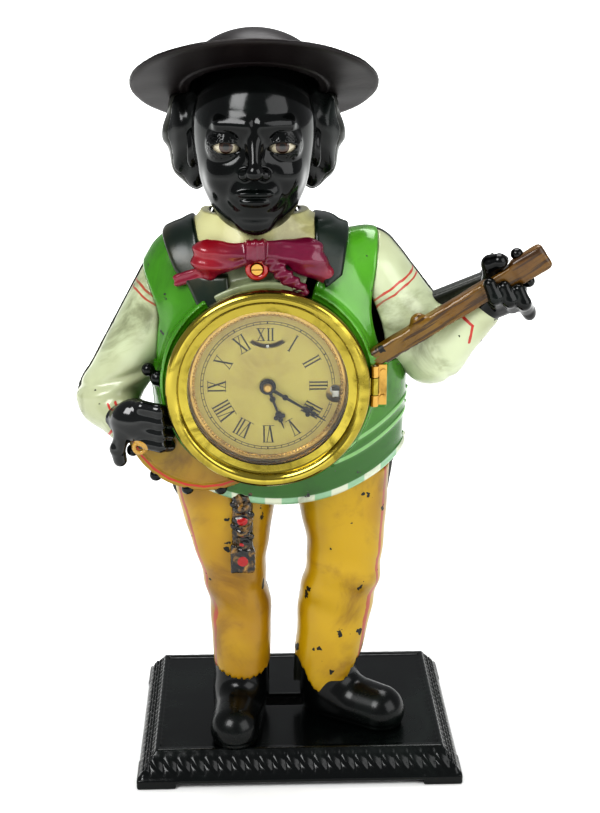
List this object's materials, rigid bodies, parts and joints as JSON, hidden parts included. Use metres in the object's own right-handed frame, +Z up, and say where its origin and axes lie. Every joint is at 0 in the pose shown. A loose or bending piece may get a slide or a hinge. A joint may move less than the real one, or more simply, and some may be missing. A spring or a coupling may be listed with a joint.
{
  "type": "figural shelf clock",
  "caption": "Cast-iron figural shelf clock: standing banjo player on a plinth, clock in the belly behind a hinged bezel, wound train, and eyes rocked by the movement.",
  "frame": {"origin": "middle of the whole clock's footprint, on the ground under the feet", "axes": "+Z up, -Y the way the figure faces, +X to the right seen from the front"},
  "size_m": [0.251, 0.132, 0.4075],
  "materials": {
    "black_iron": "glossy cold-painted black",
    "painted_front": "cold-painted cast iron, worn and chipped",
    "painted_back": "cold-painted dark cast iron",
    "hat_paint": "brown-black and green-black paint",
    "steel_screw": "aged steel",
    "red_enamel": "glossy red enamel",
    "gilt_brass": "aged gilt brass",
    "paper_dial": "aged cream paper on sheet metal",
    "dial_ink": "black printing",
    "bezel_brass": "polished aged brass",
    "dial_glass": "clear glass",
    "plate_brass": "satin brass",
    "train_steel": "polished steel",
    "spring_steel": "blued spring steel",
    "hand_black": "black-blued steel",
    "eye_enamel": "ivory enamel with a dark iris"
  },
  "bodies": {
    "case": {"plinth": "black_iron", "plinth_screws": "steel_screw", "front_casting": "painted_front", "back_casting": "painted_back", "case_screws": "steel_screw", "hat": "hat_paint", "hat_screw": "steel_screw", "stud_ring": "red_enamel", "stud_screw": "gilt_brass", "dial": "paper_dial", "dial_marks": "dial_ink", "dial_ring": "gilt_brass", "hinge_leaf": "gilt_brass", "hinge_pin": "steel_screw", "leaf_screws": "gilt_brass", "front_plate": "plate_brass", "back_plate": "plate_brass", "pillars": "plate_brass", "pillar_nuts": "steel_screw", "movement_screws": "steel_screw", "mainspring": "spring_steel", "minute_stud": "train_steel", "hairspring": "spring_steel", "hairspring_stud": "plate_brass", "eye_bracket": "plate_brass", "eye_bracket_screw": "steel_screw"},
    "bezel_door": {"bezel": "bezel_brass", "bezel_glass": "dial_glass"},
    "centre": {"centre_arbor": "train_steel", "centre_wheel": "plate_brass", "cannon_pinion": "plate_brass", "minute_hand": "hand_black", "hand_nut": "gilt_brass"},
    "hour": {"hour_wheel": "plate_brass", "hour_hand": "hand_black"},
    "motion": {"minute_wheel": "plate_brass"},
    "great": {"great_wheel": "plate_brass", "click_spring": "train_steel"},
    "pawl": {"click": "train_steel"},
    "winding": {"winding_arbor": "train_steel", "ratchet_wheel": "train_steel"},
    "third": {"third_pinion": "train_steel", "third_wheel": "plate_brass"},
    "fourth": {"fourth_pinion": "train_steel", "fourth_wheel": "plate_brass"},
    "escape": {"escape_pinion": "train_steel", "escape_wheel": "plate_brass"},
    "lever": {"pallet_lever": "train_steel"},
    "balance": {"balance_staff": "train_steel", "balance_wheel": "plate_brass"},
    "link": {"eye_link": "train_steel"},
    "eye_pair": {"eye_axle": "train_steel", "eyes": "eye_enamel"},
    "rate": {"regulator": "train_steel"}
  },
  "joints": [
    {"name": "bezel_hinge", "type": "hinge", "parent": "case", "child": "bezel_door", "pos_m": [0.03366, -0.042, 0.227], "axis": [0, 0, 1], "range_deg": [0, 110]},
    {"name": "minute_turn", "type": "hinge", "parent": "case", "child": "centre", "pos_m": [-0.02214, -0.02, 0.227], "axis": [0, 1, 0], "continuous": true},
    {"name": "hour_turn", "type": "hinge", "parent": "case", "child": "hour", "pos_m": [-0.02214, -0.02, 0.227], "axis": [0, 1, 0], "continuous": true},
    {"name": "motion_turn", "type": "hinge", "parent": "case", "child": "motion", "pos_m": [-0.03197, -0.02, 0.22012], "axis": [0, 1, 0], "continuous": true},
    {"name": "great_turn", "type": "hinge", "parent": "case", "child": "great", "pos_m": [0.01336, -0.02, 0.2225], "axis": [0, 1, 0], "continuous": true},
    {"name": "click_swing", "type": "hinge", "parent": "great", "child": "pawl", "pos_m": [0.01336, -0.02, 0.2365], "axis": [0, 1, 0], "range_deg": [0, 12]},
    {"name": "winding_turn", "type": "hinge", "parent": "great", "child": "winding", "pos_m": [0.01336, -0.02, 0.2225], "axis": [0, 1, 0], "range_deg": [0, 1935], "deforming": ["mainspring"]},
    {"name": "third_turn", "type": "hinge", "parent": "case", "child": "third", "pos_m": [-0.03632, -0.02, 0.2245], "axis": [0, 1, 0], "continuous": true},
    {"name": "fourth_turn", "type": "hinge", "parent": "case", "child": "fourth", "pos_m": [-0.04506, -0.02, 0.23492], "axis": [0, 1, 0], "continuous": true},
    {"name": "escape_turn", "type": "hinge", "parent": "case", "child": "escape", "pos_m": [-0.04606, -0.02, 0.2464], "axis": [0, 1, 0], "continuous": true},
    {"name": "balance_turn", "type": "hinge", "parent": "case", "child": "balance", "pos_m": [-0.02214, -0.02, 0.2631], "axis": [0, 1, 0], "range_deg": [-100, 100], "deforming": ["hairspring"]},
    {"name": "lever_swing", "type": "hinge", "parent": "case", "child": "lever", "pos_m": [-0.03786, -0.02, 0.25213], "axis": [0, 1, 0], "range_deg": [-8.1, 8.1]},
    {"name": "link_lift", "type": "slide", "parent": "case", "child": "link", "axis": [0, 0, 1], "range_m": [-0.0014, 0.0014]},
    {"name": "eyes_rock", "type": "hinge", "parent": "case", "child": "eye_pair", "pos_m": [-0.02794, -0.034, 0.352], "axis": [1, 0, 0], "range_deg": [-6.2, 6.2]},
    {"name": "regulator_turn", "type": "hinge", "parent": "case", "child": "rate", "pos_m": [-0.02214, -0.02, 0.2631], "axis": [0, 1, 0], "range_deg": [-28, 28]}
  ],
  "couplings": [
    {"joint": "hour_turn", "follows": "minute_turn", "ratio": 0.083333},
    {"joint": "motion_turn", "follows": "minute_turn", "ratio": -0.33333},
    {"joint": "great_turn", "follows": "minute_turn", "ratio": -0.18667},
    {"joint": "third_turn", "follows": "minute_turn", "ratio": -8},
    {"joint": "fourth_turn", "follows": "minute_turn", "ratio": 60},
    {"joint": "escape_turn", "follows": "minute_turn", "ratio": -480},
    {"joint": "lever_swing", "follows": "balance_turn", "ratio": -0.08},
    {"joint": "link_lift", "follows": "balance_turn", "m_per_rad": 0.000786},
    {"joint": "eyes_rock", "follows": "balance_turn", "ratio": 0.060462}
  ]
}
